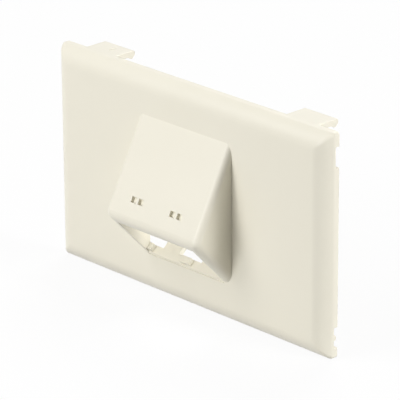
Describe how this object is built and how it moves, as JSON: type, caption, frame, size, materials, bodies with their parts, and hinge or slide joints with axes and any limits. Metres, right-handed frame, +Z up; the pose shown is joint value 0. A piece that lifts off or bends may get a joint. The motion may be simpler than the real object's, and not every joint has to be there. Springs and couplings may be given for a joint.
{
  "type": "two-port wall plate",
  "caption": "Ivory clip-on wall plate with an angled hood over a port window that faces down and out.",
  "frame": {"origin": "centre of the plane that the rim's back edge lies in", "axes": "+X along the plate's width to the right of someone who faces it, +Y into the wall, +Z up; the front and the hood face -Y"},
  "size_m": [0.12, 0.0293, 0.0726],
  "materials": {
    "faceplate": "ivory moulded plastic with a fine matt grain and a low sheen"
  },
  "bodies": {
    "root": {"faceplate": "faceplate"}
  },
  "joints": []
}
